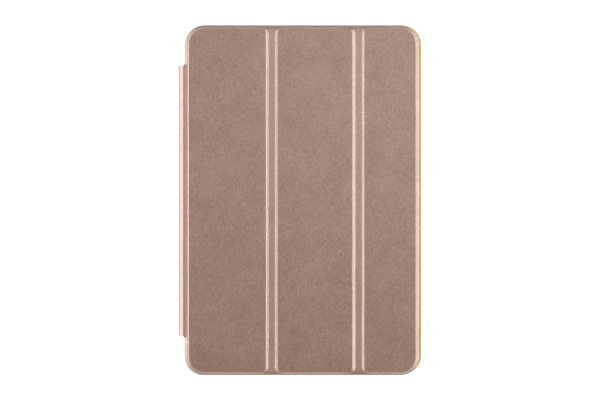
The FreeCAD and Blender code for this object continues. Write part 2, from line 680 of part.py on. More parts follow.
def speaker(side):
    x0 = side * SPEAKER_X - SPEAKER_W / 2
    y0 = HOUSING_WALL + PART_LIFT - HALF_H
    top = SPEAKER_Z + SPEAKER_T
    case = rounded_plate(
        x0, x0 + SPEAKER_W, y0, y0 + SPEAKER_L, SPEAKER_Z, top, [SPEAKER_CORNER_R] * 4
    )
    cone = Vector(side * SPEAKER_X, y0 + SPEAKER_L / 2, top - CONE_DEPTH)
    return case.cut(rod(CONE_R, cone, Z_AXIS, CONE_DEPTH))


def speaker_meshes():
    y0 = HOUSING_WALL + SOCKET_GAP - HALF_H
    half = SPEAKER_W / 2 - 1
    z0, z1 = PORT_Z - MESH_H / 2, PORT_Z + MESH_H / 2
    return Part.makeCompound(
        [block(x - half, x + half, y0, y0 + MESH_T, z0, z1) for x in (-SPEAKER_X, SPEAKER_X)]
    )


def microphone():
    y1 = HALF_H - HOUSING_WALL - SOCKET_GAP
    half_w, half_h = MIC_W / 2, MIC_H / 2
    return block(MIC_X - half_w, MIC_X + half_w, y1 - MIC_L, y1, PORT_Z - half_h, PORT_Z + half_h)


def front_camera():
    half, shoulder_z = FRONT_CAMERA_BODY / 2, LEDGE_Z - 0.5
    body = block(-half, half, FRONT_CAMERA_Y - half, FRONT_CAMERA_Y + half, PORT_Z, shoulder_z)
    barrel = rod(FRONT_CAMERA_R - 0.1, Vector(0, FRONT_CAMERA_Y, shoulder_z), Z_AXIS, 0.45)
    return body.fuse(barrel)


def rear_camera():
    half = CAMERA_BODY / 2
    nose_z = CAVITY_Z + 0.05
    z0 = nose_z + 0.6
    body = block(
        CAMERA_X - half, CAMERA_X + half, CAMERA_Y - half, CAMERA_Y + half, z0, z0 + CAMERA_BODY_T
    )
    return body.fuse(rod(TRIM_BORE_R, Vector(CAMERA_X, CAMERA_Y, nose_z), Z_AXIS, z0 - nose_z))


def camera_lens():
    return rod(LENS_R, Vector(CAMERA_X, CAMERA_Y, TABLET_Z + 0.15), Z_AXIS, LENS_T)


def camera_trim_ring():
    base = Vector(CAMERA_X, CAMERA_Y, TABLET_Z)
    ring = rod(CAMERA_R - SOCKET_GAP, base, Z_AXIS, TRIM_T)
    return ring.cut(rod(TRIM_BORE_R, base, Z_AXIS, TRIM_T))


def antenna(side):
    x0, x1 = sorted((side * 49.0, side * 61.5))
    return block(x0, x1, -95.0, -88.0, CAVITY_Z + 0.2, CAVITY_Z + 2.6)


def edge_magnets():
    """The magnets down the tablet's right side that the cover's own magnets meet."""
    x0, x1 = EDGE_MAGNET_X, EDGE_MAGNET_X + EDGE_MAGNET_W
    z0, half = CAVITY_Z + PART_LIFT, LATCH_L / 2
    return Part.makeCompound(
        [block(x0, x1, y - half, y + half, z0, z0 + EDGE_MAGNET_T) for y in EDGE_MAGNET_YS]
    )


def cover_sensor():
    z0 = CAVITY_Z + PART_LIFT
    return block(63.3, 64.9, -12.0, -9.0, z0, z0 + 1.0)


NODES = {
    "case_back_leather": case_back_leather,
    "case_tray": case_tray,
    "case_tray_lining": case_tray_lining,
    "spine_leather": spine_leather,
    "spine_board": spine_board,
    "spine_lining": spine_lining,
    "rear_hinge_strip": rear_hinge_strip,
    "front_hinge_strip": front_hinge_strip,
    "fold_1_strip": lambda: fold_strip(FOLD_1_X),
    "fold_2_strip": lambda: fold_strip(FOLD_2_X),
    "panel_1_steel_strip": stand_plate_box,
    "panel_3_magnets": lambda: Part.makeCompound(latch_magnet_boxes()),
    "rear_housing": rear_housing,
    "cover_glass": cover_glass,
    "bezel_mask": bezel_mask,
    "display_panel": display_panel,
    "display_backplate": display_backplate,
    "display_cable": lambda: ribbon_cable(0.0, -18.0, -11.0),
    "touch_cable": lambda: ribbon_cable(20.0, -8.0, -2.0),
    "battery_cell_left": lambda: battery_cell(*CELL_SPANS[0]),
    "battery_cell_right": lambda: battery_cell(*CELL_SPANS[1]),
    "battery_board": battery_board,
    "battery_connector": battery_connector,
    "logic_board": logic_board,
    "board_shields": board_shields,
    "board_chips": board_chips,
    "board_screws": board_screws,
    "charging_port": charging_port,
    "headphone_jack": headphone_jack,
    "speaker_left": lambda: speaker(-1),
    "speaker_right": lambda: speaker(1),
    "speaker_meshes": speaker_meshes,
    "microphone": microphone,
    "front_camera": front_camera,
    "rear_camera": rear_camera,
    "camera_lens": camera_lens,
    "camera_trim_ring": camera_trim_ring,
    "antenna_left": lambda: antenna(-1),
    "antenna_right": lambda: antenna(1),
    "edge_magnets": edge_magnets,
    "cover_sensor": cover_sensor,
    "home_button": home_button,
    "home_button_gasket": home_button_gasket,
    "home_switch": home_switch,
    "power_button": power_button,
    "power_switch": power_switch,
    "volume_up_button": lambda: volume_button(VOLUME_UP_Y),
    "volume_down_button": lambda: volume_button(VOLUME_DOWN_Y),
    "volume_switch_board": volume_switch_board,
    "mute_slider": mute_slider,
}
for panel in (1, 2, 3):
    NODES[f"panel_{panel}_leather"] = lambda n=panel: panel_leather(n)
    NODES[f"panel_{panel}_board"] = lambda n=panel: panel_board(n)
    NODES[f"panel_{panel}_lining"] = lambda n=panel: panel_lining(n)


def main():
    os.makedirs(OUT, exist_ok=True)
    for name, make in NODES.items():
        shape = make()
        if not shape.isValid() or not shape.Solids:
            raise ValueError(f"{name} is not a valid solid")
        if not math.isfinite(shape.Volume) or shape.Volume <= 0:
            raise ValueError(f"{name} has no volume")
        shape.exportStep(os.path.join(OUT, f"{name}.step"))
    print(len(NODES), "nodes")


main()
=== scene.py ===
"""The looks of a small tablet computer in a folding leather case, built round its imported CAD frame.

The tablet lies on its back with the cover closed: +X is its right edge, +Y its top edge and +Z points out
of the cover. The leather, its lining and the spine's strips are made here as meshes over the plain CAD
solids. The hard parts keep their CAD shapes, apart from the faces inside the front glass and the lens.
All materials are made here.
"""

import json
import math

import bmesh
import bpy
import numpy as np
from mathutils import Matrix, Vector


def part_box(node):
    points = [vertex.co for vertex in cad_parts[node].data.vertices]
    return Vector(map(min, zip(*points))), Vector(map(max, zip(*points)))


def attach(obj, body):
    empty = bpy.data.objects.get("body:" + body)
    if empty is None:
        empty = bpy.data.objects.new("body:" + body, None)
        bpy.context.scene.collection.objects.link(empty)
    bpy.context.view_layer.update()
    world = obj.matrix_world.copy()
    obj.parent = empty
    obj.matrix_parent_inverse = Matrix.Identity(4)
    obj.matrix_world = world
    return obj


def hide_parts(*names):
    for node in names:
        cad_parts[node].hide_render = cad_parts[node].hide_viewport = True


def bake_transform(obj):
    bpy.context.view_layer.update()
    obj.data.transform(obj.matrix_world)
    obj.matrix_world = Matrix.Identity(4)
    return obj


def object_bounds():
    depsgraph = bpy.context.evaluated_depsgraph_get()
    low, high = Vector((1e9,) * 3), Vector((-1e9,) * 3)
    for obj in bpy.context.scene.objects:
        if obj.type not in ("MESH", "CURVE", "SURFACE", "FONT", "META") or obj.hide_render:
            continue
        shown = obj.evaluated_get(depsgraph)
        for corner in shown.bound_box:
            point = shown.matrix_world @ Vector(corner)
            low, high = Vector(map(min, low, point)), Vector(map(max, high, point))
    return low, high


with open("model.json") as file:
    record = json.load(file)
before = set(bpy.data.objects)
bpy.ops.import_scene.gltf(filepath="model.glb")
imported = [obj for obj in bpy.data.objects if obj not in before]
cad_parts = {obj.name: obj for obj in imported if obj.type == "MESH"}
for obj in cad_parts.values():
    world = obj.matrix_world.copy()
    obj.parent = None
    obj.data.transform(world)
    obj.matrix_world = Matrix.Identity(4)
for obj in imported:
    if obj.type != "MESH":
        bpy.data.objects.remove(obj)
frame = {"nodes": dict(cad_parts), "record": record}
cad_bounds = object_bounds()

MM = 0.001

# Leather cover
COVER_CORNER = 11.0 * MM
PAD_FOLD_CORNER = 4.0 * MM
PAD_INSET_LEFT, PAD_INSET_RIGHT = 1.05 * MM, 0.65 * MM
PAD_INSET_BOTTOM, PAD_INSET_TOP = 0.6 * MM, 0.7 * MM
BEVEL = 1.4 * MM
WIDE_BEVEL = 1.6 * MM
WIDE_BEVEL_START, WIDE_BEVEL_RUN = 9.0 * MM, 6.0 * MM
CROWN = 0.16 * MM
CROWN_REACH = 7.0 * MM
UNEVEN, UNEVEN_REACH = 0.035 * MM, 6.0 * MM
WOBBLE = 0.07 * MM
BORDER_FALL = 0.28 * MM
BORDER_SLOPE_W = 1.35 * MM
EDGE_ROLL = 0.42 * MM
OVERHANG_RIGHT, OVERHANG_TOP = 0.22 * MM, 0.1 * MM
GROOVE_DEPTH, GROOVE_END = 0.04 * MM, 3.0 * MM
SEAM_ON_PAD = 5.0 * MM
FOLD_LIFT = 0.16 * MM
TURNED_EDGE = 1.7 * MM
TURNED_T = 0.05 * MM
RECESS = 0.35 * MM
RECESS_WALL = 0.3 * MM

# How much the leather is rubbed, from 0 to 1
EDGE_WEAR, EDGE_WEAR_W = 0.2, 1.2 * MM
CREST_WEAR, CREST_WEAR_W = 0.35, 0.5 * MM

# Grid steps: close at the rolled edges and the bevels, wider on the pads
EDGE_STEPS = np.array([0, 0.02, 0.06, 0.12, 0.2, 0.3, 0.42]) * MM
EDGE_END = 0.56 * MM
BEVEL_ZONE = 3.4 * MM

# Lining
LINING_T = 0.3 * MM
LINING_ROLL = 0.12 * MM
LINING_STEPS = np.array([0, 0.02, 0.06, 0.12, 0.2]) * MM
LINING_EDGE_END, LINING_BORDER = 0.6 * MM, 12.0 * MM

# Hinge strips
STRIP_LEATHER = 0.5 * MM
STRIP_LINING = 0.3 * MM
STRIP_END_ROLL = 0.25 * MM
STRIP_END_STEPS = np.array([0, 0.01, 0.04, 0.09, 0.16, 0.25, 0.5, 1.0, 2.0]) * MM
STRIP_END_L, STRIP_ROWS = 4.0 * MM, 40
TUCK = 0.6 * MM
REBATE, REBATE_BLEND = 0.2 * MM, 0.5 * MM
HINGE_DROP, HINGE_SAG = 0.03 * MM, 0.288 * MM
GROOVE_W = 1.55 * MM
GROOVE_FADE_START, GROOVE_FADE = 0.5 * MM, 0.9 * MM
SHOULDER_POWER = 1.25
PINCH = 0.1 * MM
FLARE = 1.0 * MM
REAR_BLEND, REAR_LIFT = 2.0 * MM, 0.06 * MM

# Flat sheets
SHEET_CORNER_INSET = 1.3 * MM
BACK_ROUND, TRAY_LINING_ROUND = 0.3 * MM, 0.1 * MM
CAMERA_MARGIN = 1.45 * MM
SMALL_FACE = 4 * MM * MM
WELD = 0.0008 * MM

# Glass
GLASS_GAP = 0.04 * MM
SAME_FACE = 0.01 * MM
GLASS_MIRROR = 0.045

# Colours
ROSE = (0.60, 0.38, 0.29)
GOLD = (0.62, 0.43, 0.21)
PALE_GOLD = (0.86, 0.70, 0.52)

# Picture
FILL = 0.8762
PICTURE_ASPECT = 600 / 400
CAMERA_HEIGHT = 1.7
SENSOR = 0.036

# Floor and world
FLOOR_HALF, FLOOR_DROP = 12.0, 0.2 * MM
FLOOR_GLOW = 0.88
FLOOR_TONES = (0.29,) * 3, (0.31,) * 3
DARK_SPOT = (0.0, -0.24, 0.97)
SPOT_RANGE = {"From Min": 0.93, "From Max": 0.99, "To Min": 0.24, "To Max": 0.0}
FAR_SIDE_RANGE = {"From Min": 0.2, "From Max": 0.42, "To Min": 1.0, "To Max": 0.15}

# Softboxes: place and size in metres, and power in watts
SIDE_BOX_AT = (1.04, 0.1, 0.78)
SIDE_BOX_SIZE = (1.9, 1.2)
LEFT_POWER, RIGHT_POWER = 13.8, 14.6
FILL_AT = (0.06, 0.08, 0.30)
FILL_SIZE = (0.2, 0.2)
FILL_POWER = 0.53


# Small helpers


def smooth(t):
    """An eased step: 0 up to t = 0, and 1 from t = 1."""
    t = np.clip(t, 0.0, 1.0)
    return t * t * (3 - 2 * t)


def ripple(x, y, seed):
    """A slow, uneven wave over the leather, from -1 to 1."""
    waves = ((38, 61, 0.3), (-97, 44, 1.9), (23, -131, 4.2), (151, 83, 2.6))
    total = sum(np.sin(a * x + b * y + c + seed) for a, b, c in waves)
    return total / len(waves)


def spread(*spans):
    """Places along a line. Each span is its start, its end and the step between places."""
    places = []
    for start, end, step in spans:
        count = max(1, round((end - start) / step))
        places += [start + (end - start) * n / count for n in range(count)]
    places.append(spans[-1][1])
    return np.array(places)


def link(obj):
    bpy.context.scene.collection.objects.link(obj)
    return obj


def weld(work):
    """Joins points that lie in one place, and turns every face outwards."""
    bmesh.ops.remove_doubles(work, verts=work.verts, dist=WELD)
    bmesh.ops.recalc_face_normals(work, faces=work.faces)


def closed_shell(name, top, bottom, caps, wear_and_painted_light=None):
    """A closed mesh between two grids of points that meet along their outline. caps says whether the first
    and last columns are cut ends, which get flat faces. The last argument is kept as an attribute for the
    leather:
    how much it is lightened, by real rubbing and by painted light in the fold grooves."""
    columns, rows = top.shape[:2]
    below = columns * rows
    faces = []
    for i in range(columns - 1):
        for j in range(rows - 1):
            a, b = i * rows + j, (i + 1) * rows + j
            faces.append((a, b, b + 1, a + 1))
            faces.append((below + a + 1, below + b + 1, below + b, below + a))
    cut_faces = []
    for i in [c for c, cut in zip((0, columns - 1), caps) if cut]:
        for j in range(rows - 1):
            a = i * rows + j
            cut_faces.append(len(faces))
            faces.append((a, a + 1, below + a + 1, below + a))
    points = np.concatenate([top.reshape(-1, 3), bottom.reshape(-1, 3)])
    mesh = bpy.data.meshes.new(name)
    mesh.from_pydata(points.tolist(), [], faces)
    if wear_and_painted_light is not None:
        layer = mesh.attributes.new("wear_and_painted_light", "FLOAT", "POINT")
        layer.data.foreach_set("value", np.tile(wear_and_painted_light.reshape(-1), 2).astype(np.float32))
    work = bmesh.new()
    work.from_mesh(mesh)
    work.faces.ensure_lookup_table()
    for face in work.faces:
        face.smooth = True
    for n in cut_faces:
        for edge in work.faces[n].edges:
            edge.smooth = False
    weld(work)
    work.to_mesh(mesh)
    work.free()
    return link(bpy.data.objects.new(name, mesh))


def inset_from(x, y, low, high, radii):
    """How far a point lies inside a rounded rectangle. radii is for the left and the right corners."""
    centre_x, centre_y = (low[0] + high[0]) / 2, (low[1] + high[1]) / 2
    half_x, half_y = (high[0] - low[0]) / 2, (high[1] - low[1]) / 2
    r = np.where(x < centre_x, radii[0], radii[1])
    qx, qy = np.abs(x - centre_x) - half_x + r, np.abs(y - centre_y) - half_y + r
    outside = np.hypot(np.maximum(qx, 0), np.maximum(qy, 0)) + np.minimum(np.maximum(qx, qy), 0) - r
    return -outside


# The cover's frame, read from the CAD solids

panel_boxes = [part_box(f"panel_{n}_leather") for n in (1, 2, 3)]
fold_boxes = [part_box(f"fold_{n}_strip") for n in (1, 2)]
fold_xs = [(low.x + high.x) / 2 for low, high in fold_boxes]
cover_low = Vector((panel_boxes[0][0].x, panel_boxes[0][0].y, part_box("panel_1_lining")[0].z))
cover_high = panel_boxes[2][1] + Vector((OVERHANG_RIGHT, OVERHANG_TOP, 0))
spine_low, spine_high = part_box("spine_leather")
rear_low, rear_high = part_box("rear_hinge_strip")
BORDER_TOP = fold_boxes[0][1].z
PAD_TOP = cover_high.z
LINING_Z = cover_low.z
EDGE_MIDDLE = (LINING_Z + BORDER_TOP) / 2
PAD_RISE = PAD_TOP - CROWN - BORDER_TOP
seam_xs = [x + side * SEAM_ON_PAD for x in fold_xs for side in (-1, 1)]


def pads():
    """Each pad's lowest and highest corner at the foot of its bevel, and its corner radii."""
    outer_r = COVER_CORNER - PAD_INSET_LEFT
    sides = [cover_low.x + PAD_INSET_LEFT]
    for low, high in fold_boxes:
        sides += [low.x, high.x]
    sides.append(cover_high.x - PAD_INSET_RIGHT)
    y0, y1 = cover_low.y + PAD_INSET_BOTTOM, cover_high.y - PAD_INSET_TOP
    radii = [(outer_r, PAD_FOLD_CORNER), (PAD_FOLD_CORNER,) * 2, (PAD_FOLD_CORNER, outer_r)]
    return [((sides[2 * n], y0), (sides[2 * n + 1], y1), radii[n]) for n in range(3)]


def shoulder(t):
    """The bevel from a pad's foot, 0, to its crest, 1: it starts and stops with a slight crease."""
    t = np.clip(t, 0.0, 1.0)
    return 0.35 * t + 0.65 * smooth(t)


def cover_inset(x, y, extra=0.0):
    """How far a point lies inside the cover's outline, drawn in by extra."""
    low = (cover_low.x + extra, cover_low.y + extra)
    high = (cover_high.x - extra, cover_high.y - extra)
    return inset_from(x, y, low, high, (COVER_CORNER - extra,) * 2)


def rolled(depth, roll):
    """How far a rounded edge has opened out at a depth inside the outline, from 0 to 1."""
    t = np.clip(depth / roll, 0.0, 1.0)
    return np.sqrt(np.maximum(0.0, 1 - (1 - t) ** 2))


def beside_spine(x, y):
    """1 on the border that the front hinge's strip lies on, and 0 elsewhere."""
    reach = REBATE_BLEND
    along = np.minimum(y - spine_low.y + FLARE, spine_high.y + FLARE - y) - reach
    return smooth(along / reach) * smooth((cover_low.x + PAD_INSET_LEFT + reach - x) / reach)


def leather_top(x, y):
    """The height of the cover's leather, and how much each place is lightened: by rubbing at the edge and
    the crests, and by painted light on the floors of the fold grooves.
    """
    depth = np.maximum(cover_inset(x, y), 0)
    border = BORDER_TOP - BORDER_FALL * (1 - np.clip(depth / BORDER_SLOPE_W, 0, 1))
    border = border - REBATE * beside_spine(x, y)
    wear_and_painted_light = EDGE_WEAR * smooth(1 - depth / EDGE_WEAR_W)
    for fold_x, (low, high) in zip(fold_xs, fold_boxes):
        across = (x - fold_x) / ((high.x - low.x) / 2)
        border = border - GROOVE_DEPTH * smooth(1 - across**2) * smooth(depth / GROOVE_END)
        # Painted light: the floor of each fold groove is lightened as if lit, through the same value as the
        # rubbing.
        wear_and_painted_light = wear_and_painted_light + smooth(3 - 3 * np.abs(across)) * smooth(depth / GROOVE_END)
    z = EDGE_MIDDLE + (border - EDGE_MIDDLE) * rolled(depth, EDGE_ROLL)
    for n, (low, high, radii) in enumerate(pads()):
        inside = inset_from(x, y, low, high, radii) + WOBBLE * ripple(x * 2.1, y * 2.1, n)
        width = np.full_like(x, BEVEL)
        if n == 1:
            share = smooth((x - high[0] + WIDE_BEVEL_START) / WIDE_BEVEL_RUN)
            width = BEVEL + (WIDE_BEVEL - BEVEL) * share
        z = z + PAD_RISE * shoulder(inside / width)
        past = np.maximum(inside - width, 0)
        z = z + CROWN * (1 - np.exp(-past / CROWN_REACH))
        z = z + UNEVEN * ripple(x * 2.6, y * 1.7, 7 + n) * smooth(past / UNEVEN_REACH)
        wear_and_painted_light = wear_and_painted_light + CREST_WEAR * np.exp(-(((inside - width) / CREST_WEAR_W) ** 2)) * (inside > 0)
    return z, np.clip(wear_and_painted_light, 0, 1)


def leather_bottom(x, y):
    """The underside: the turned edge, then a shallow recess that the lining fills."""
    depth = np.maximum(cover_inset(x, y), 0)
    flat = LINING_Z + TURNED_T
    z = EDGE_MIDDLE - (EDGE_MIDDLE - flat) * rolled(depth, EDGE_ROLL)
    for fold_x in fold_xs:
        z = z + FOLD_LIFT * smooth(1 - np.abs(x - fold_x) / SEAM_ON_PAD) * smooth(depth / EDGE_ROLL)
    return z + (RECESS - TURNED_T) * smooth((depth - TURNED_EDGE + RECESS) / RECESS_WALL)


def end_steps():
    """Distances in from the top or bottom outline: close at the rounded edge, then wider."""
    inner = spread(
        (EDGE_END, BEVEL_ZONE, 0.17 * MM),
        (BEVEL_ZONE, 6 * MM, 0.4 * MM),
        (6 * MM, 12 * MM, 1 * MM),
    )
    return np.concatenate([EDGE_STEPS, inner])


def side_columns():
    """Places across the whole cover: close at the edges and the folds, wider on the pads."""
    left, right = cover_low.x, cover_high.x
    near, corner = BEVEL_ZONE, COVER_CORNER + 1 * MM
    inner = spread(
        (left + EDGE_END, left + near, 0.17 * MM),
        (left + near, left + corner, 0.5 * MM),
        (left + corner, seam_xs[0], 2.5 * MM),
        (seam_xs[0], seam_xs[1], 0.21 * MM),
        (seam_xs[1], seam_xs[2], 2.5 * MM),
        (seam_xs[2], seam_xs[3], 0.21 * MM),
        (seam_xs[3], right - corner, 2.5 * MM),
        (right - corner, right - near, 0.5 * MM),
        (right - near, right - EDGE_END, 0.17 * MM),
    )
    return np.concatenate([left + EDGE_STEPS, inner, right - EDGE_STEPS[::-1]])


def plan_grid(xs, steps, low, high, radius, middle_step):
    """Points over a rounded rectangle: columns at xs, and rows that follow the outline near both ends."""
    from_side = np.minimum(np.minimum(xs - low[0], high[0] - xs), radius)
    drop = radius - np.sqrt(np.maximum(0, radius**2 - (radius - np.maximum(from_side, 0)) ** 2))
    y_low, y_high = low[1] + drop, high[1] - drop
    reach = steps[-1]
    count = max(2, round((high[1] - low[1] - 2 * reach) / middle_step))
    share = np.arange(1, count) / count
    rows = [y_low + s for s in steps]
    rows += [y_low + reach + (y_high - y_low - 2 * reach) * t for t in share]
    rows += [y_high - s for s in steps[::-1]]
    y = np.array(rows).T
    x = np.repeat(xs[:, None], y.shape[1], axis=1)
    return x, y


def cut_at(xs, places):
    """The columns between each two neighbouring seams, as slices that share their end columns."""
    marks = [0] + [int(np.argmin(np.abs(xs - p))) for p in places] + [len(xs) - 1]
    return [slice(a, b + 1) for a, b in zip(marks, marks[1:])]


def cover_pieces(suffix, x, y, top, bottom, wear_and_painted_light=None):
    """Cuts a layer of the whole cover into its three panels and the two folds between them."""
    pieces = {}
    names = ["panel_1", "fold_1", "panel_2", "fold_2", "panel_3"]
    upper, lower = np.stack([x, y, top], axis=-1), np.stack([x, y, bottom], axis=-1)
    for n, part in enumerate(cut_at(x[:, 0], seam_xs)):
        wear_and_light_share = None if wear_and_painted_light is None else wear_and_painted_light[part]
        name = f"{names[n]}_{suffix}"
        pieces[names[n]] = closed_shell(name, upper[part], lower[part], (n > 0, n < 4), wear_and_light_share)
    return pieces


def make_cover_leather():
    x, y = plan_grid(side_columns(), end_steps(), cover_low, cover_high, COVER_CORNER, 4 * MM)
    top, wear_and_painted_light = leather_top(x, y)
    return cover_pieces("leather_skin", x, y, top, leather_bottom(x, y), wear_and_painted_light)


def make_cover_lining():
    low = (cover_low.x + TURNED_EDGE, cover_low.y + TURNED_EDGE)
    high = (cover_high.x - TURNED_EDGE, cover_high.y - TURNED_EDGE)
    radius = COVER_CORNER - TURNED_EDGE
    edge, near, border = LINING_STEPS, LINING_EDGE_END, LINING_BORDER
    inner = spread(
        (low[0] + near, low[0] + border, 0.6 * MM),
        (low[0] + border, seam_xs[0], 4 * MM),
        (seam_xs[0], seam_xs[1], 0.4 * MM),
        (seam_xs[1], seam_xs[2], 4 * MM),
        (seam_xs[2], seam_xs[3], 0.4 * MM),
        (seam_xs[3], high[0] - border, 4 * MM),
        (high[0] - border, high[0] - near, 0.6 * MM),
    )
    xs = np.concatenate([low[0] + edge, inner, high[0] - edge[::-1]])
    steps = np.concatenate([edge, spread((near, border, 1.4 * MM))])
    x, y = plan_grid(xs, steps, low, high, radius, 8 * MM)
    depth = np.maximum(cover_inset(x, y, TURNED_EDGE), 0)
    opened = rolled(depth, LINING_ROLL)
    middle, half = LINING_Z + LINING_T / 2, LINING_T / 2
    return cover_pieces("lining_skin", x, y, middle + half * opened, middle - half * opened)


# The spine and its hinges, as strips that follow one section from the cover round to the back


def arc(centre, radius, start, end, count):
    """Points of an arc in the XZ plane, with angles in degrees from +X towards +Z."""
    turns = [math.radians(start + (end - start) * n / count) for n in range(count + 1)]
    return [(centre[0] + radius * math.cos(a), centre[1] + radius * math.sin(a)) for a in turns]


def front_section():
    """From under the first pad's bevel, over the hinge groove and the shoulder, to the spine's face."""
    foot = cover_low.x + PAD_INSET_LEFT
    level = BORDER_TOP - HINGE_DROP
    points = [(foot + TUCK, level - 2 * HINGE_DROP), (foot + TUCK / 2, level - HINGE_DROP)]
    for n in range(9):
        t = n / 8
        points.append((foot - GROOVE_W * t, level - HINGE_SAG * t * (1 - t)))
    centre = (points[-1][0], spine_high.z)
    reach_x, reach_z = centre[0] - spine_low.x, level - spine_high.z
    for n in range(1, 17):
        turn = math.radians(90 * n / 16)
        across, up = math.sin(turn) ** SHOULDER_POWER, math.cos(turn) ** SHOULDER_POWER
        points.append((centre[0] - reach_x * across, centre[1] + reach_z * up))
    return points


def spine_section():
    """Down the spine's outer face, which is pinched slightly beside both hinges."""
    steps = 14
    points = []
    for n in range(steps + 1):
        at_end = n in (0, steps)
        nearness = math.exp(-(n**2) / 1.2) + math.exp(-((steps - n) ** 2) / 1.2)
        pinch = 0.0 if at_end else PINCH * nearness
        points.append((spine_low.x + pinch, spine_high.z + (spine_low.z - spine_high.z) * n / steps))
    return points


def rear_section():
    """From the bottom of the spine's outer face, round under the tray, into the back leather."""
    bend = spine_low.z - rear_low.z
    centre = (spine_low.x + bend, spine_low.z)
    back_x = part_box("case_back_leather")[0].x
    flat_z = rear_low.z + REAR_LIFT
    flat = [(x, flat_z) for x in np.linspace(centre[0] + 0.4 * MM, back_x + TUCK, 9)]
    return arc(centre, bend, 180, 270, 14) + flat


def section_normals(points):
    """Unit vectors that point out of the leather along a section."""
    p = np.array(points)
    way = np.gradient(p, axis=0)
    way /= np.linalg.norm(way, axis=1)[:, None]
    return np.stack([way[:, 1], -way[:, 0]], axis=1)


def strip(name, section, outer_depth, inner_depth, flare=0.0, wear_and_light_share=0.0):
    """A leather or lining strip along Y: a section, with its faces at two depths below the outer surface.
    flare is how much longer each end is, and the last argument how much the leather is lightened: painted
    light in the front hinge's groove. All may vary along the section."""
    points, normals = np.array(section), section_normals(section)
    values = (outer_depth, inner_depth, flare, wear_and_light_share)
    outers, inners, flares, wear_and_light_values = (np.broadcast_to(v, (len(points),)) for v in values)
    edge = STRIP_END_STEPS
    y0, y1 = spine_low.y, spine_high.y
    middle = np.linspace(y0 + STRIP_END_L, y1 - STRIP_END_L, STRIP_ROWS)
    from_end = np.concatenate([edge, np.full(len(middle), STRIP_END_L), edge[::-1]])
    opened = rolled(from_end, STRIP_END_ROLL)
    upper, lower = [], []
    for point, normal, outer, inner, longer in zip(points, normals, outers, inners, flares):
        ys = np.concatenate([y0 - longer + edge, middle, y1 + longer - edge[::-1]])
        for side, rows in ((1, upper), (-1, lower)):
            shift = -(outer + inner) / 2 + side * (inner - outer) / 2 * opened
            rows.append(np.stack([point[0] + normal[0] * shift, ys, point[1] + normal[1] * shift], axis=-1))
    wear_and_painted_light = np.repeat(wear_and_light_values[:, None], len(from_end), axis=1)
    return closed_shell(name, np.array(upper), np.array(lower), (True, True), wear_and_painted_light)


def eased_depths(count, near_start, face_depth, face_inner):
    """Depths that run from the spine's lining to a hinge's thin lining, over a strip's points at one end."""
    steps = np.arange(count) if near_start else np.arange(count)[::-1]
    share = smooth(steps / 9)
    outer = face_depth + (STRIP_LEATHER - face_depth) * share
    inner = face_inner + (STRIP_LEATHER + STRIP_LINING - face_inner) * share
    return outer, inner


def make_spine_strips():
    front, face, rear = front_section(), spine_section(), rear_section()
    leather_t = spine_high.x - spine_low.x
    lining_low, lining_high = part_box("spine_lining")
    face_depth = lining_low.x - spine_low.x
    face_inner = lining_high.x - spine_low.x
    shoulder_end = cover_low.x + PAD_INSET_LEFT - GROOVE_W
    front_xs = np.array([x for x, z in front])
    in_groove = smooth((front_xs - shoulder_end + GROOVE_FADE_START) / GROOVE_FADE)
    flare = FLARE * in_groove
    front_outer, front_inner = eased_depths(len(front), False, face_depth, face_inner)
    rear_outer, rear_inner = eased_depths(len(rear), True, face_depth, face_inner)
    return {
        # Painted light: the front hinge's groove is lightened as if lit.
        "front_hinge_leather": strip("front_hinge_leather", front, 0, STRIP_LEATHER, flare, in_groove),
        "front_hinge_lining": strip("front_hinge_lining", front, front_outer, front_inner, flare),
        "spine_leather": strip("spine_leather_skin", face, 0, leather_t),
        "spine_lining": strip("spine_lining_skin", face, face_depth, face_inner),
        "rear_hinge_leather": strip("rear_hinge_leather", rear, 0, STRIP_LEATHER),
        "rear_hinge_lining": strip("rear_hinge_lining", rear, rear_outer, rear_inner),
    }


# Flat sheets with a camera hole: the leather on the back, and the lining inside the tray


def rounded_outline(low, high, radius):
    """Points of a rounded rectangle, anticlockwise."""
    points = []
    corners = ((high[0], low[1], -90), (high[0], high[1], 0), (low[0], high[1], 90), (low[0], low[1], 180))
    for corner_x, corner_y, start in corners:
        centre_x = corner_x - radius if corner_x == high[0] else corner_x + radius
        centre_y = corner_y - radius if corner_y == high[1] else corner_y + radius
        for n in range(17):
            a = math.radians(start + 90 * n / 16)
            points.append((centre_x + radius * math.cos(a), centre_y + radius * math.sin(a)))
    return points


def circle(centre, radius):
    """Points of a circle, anticlockwise."""
    count = 64
    turns = [2 * math.pi * n / count for n in range(count)]
    return [(centre[0] + radius * math.cos(a), centre[1] + radius * math.sin(a)) for a in turns]


def holed_sheet(name, node, corner, round_edge):
    """A flat sheet with soft edges, in the place of a CAD sheet, with the hole for the camera."""
    low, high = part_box(node)
    lens_low, lens_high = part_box("camera_trim_ring")
    hole_centre = (lens_low + lens_high) / 2
    hole_r = (lens_high.x - lens_low.x) / 2 + CAMERA_MARGIN
    inner_low = (low.x + round_edge, low.y + round_edge)
    inner_high = (high.x - round_edge, high.y - round_edge)
    loops = [
        rounded_outline(inner_low, inner_high, corner - round_edge),
        circle(hole_centre, hole_r + round_edge),
    ]
    curve = bpy.data.curves.new(name, "CURVE")
    curve.dimensions = "2D"
    curve.fill_mode = "BOTH"
    for loop in loops:
        spline = curve.splines.new("POLY")
        spline.points.add(len(loop) - 1)
        for point, (px, py) in zip(spline.points, loop):
            point.co = (px, py, 0, 1)
        spline.use_cyclic_u = True
    curve.extrude = (high.z - low.z) / 2 - round_edge
    curve.bevel_depth = round_edge
    curve.bevel_resolution = 3
    source = bpy.data.objects.new(name, curve)
    mesh = bpy.data.meshes.new_from_object(source)
    bpy.data.objects.remove(source)
    mesh.transform(Matrix.Translation((0, 0, (low.z + high.z) / 2)))
    work = bmesh.new()
    work.from_mesh(mesh)
    weld(work)
    for face in work.faces:
        face.smooth = face.calc_area() < SMALL_FACE
    work.to_mesh(mesh)
    work.free()
    return link(bpy.data.objects.new(name, mesh))


# Materials


